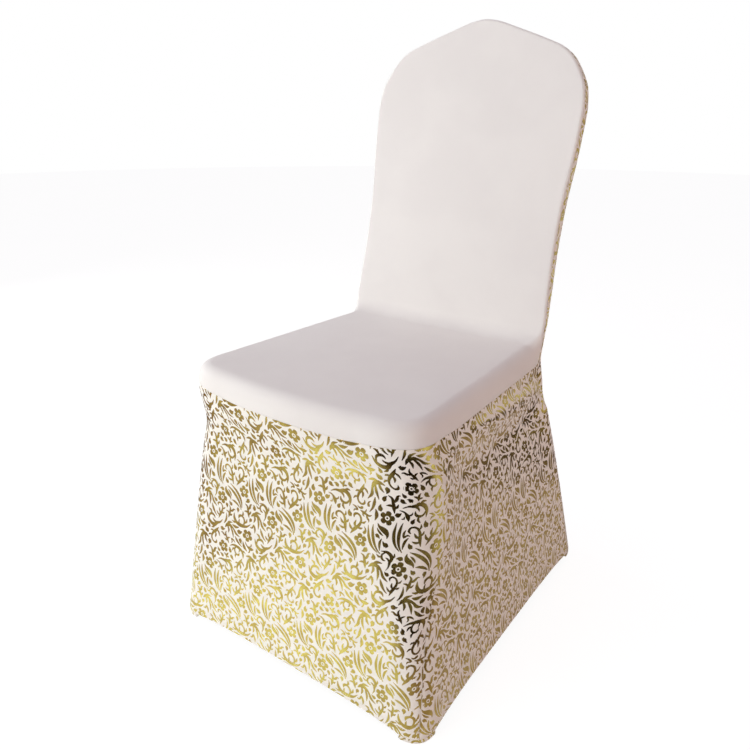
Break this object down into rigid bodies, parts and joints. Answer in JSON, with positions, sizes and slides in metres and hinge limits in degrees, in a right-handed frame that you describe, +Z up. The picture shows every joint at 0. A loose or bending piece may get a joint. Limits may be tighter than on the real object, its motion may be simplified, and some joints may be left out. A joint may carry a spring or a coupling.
{
  "type": "fitted stretch chair cover",
  "caption": "Fitted stretch cover shaped by a banquet chair: plain seat and front of the back, gold-printed skirts and back panel, foot pockets at the corners.",
  "frame": {"origin": "centre of the footprint at floor level", "axes": "+Z up, -Y towards the front of the seat, +X to the right of a viewer who faces the front"},
  "size_m": [0.4774, 0.5602, 0.9222],
  "materials": {
    "plain_knit": "smooth ivory stretch knit with a soft sheen",
    "foil_printed_knit": "off-white stretch knit with a gold foil scroll print"
  },
  "bodies": {
    "root": {"back_panel": "foil_printed_knit", "foot_pocket_front_left": "foil_printed_knit", "foot_pocket_front_right": "foil_printed_knit", "foot_pocket_rear_left": "foil_printed_knit", "foot_pocket_rear_right": "foil_printed_knit", "seat_and_front_back": "plain_knit", "skirt_front": "foil_printed_knit", "skirt_left": "foil_printed_knit", "skirt_right": "foil_printed_knit"}
  },
  "joints": []
}
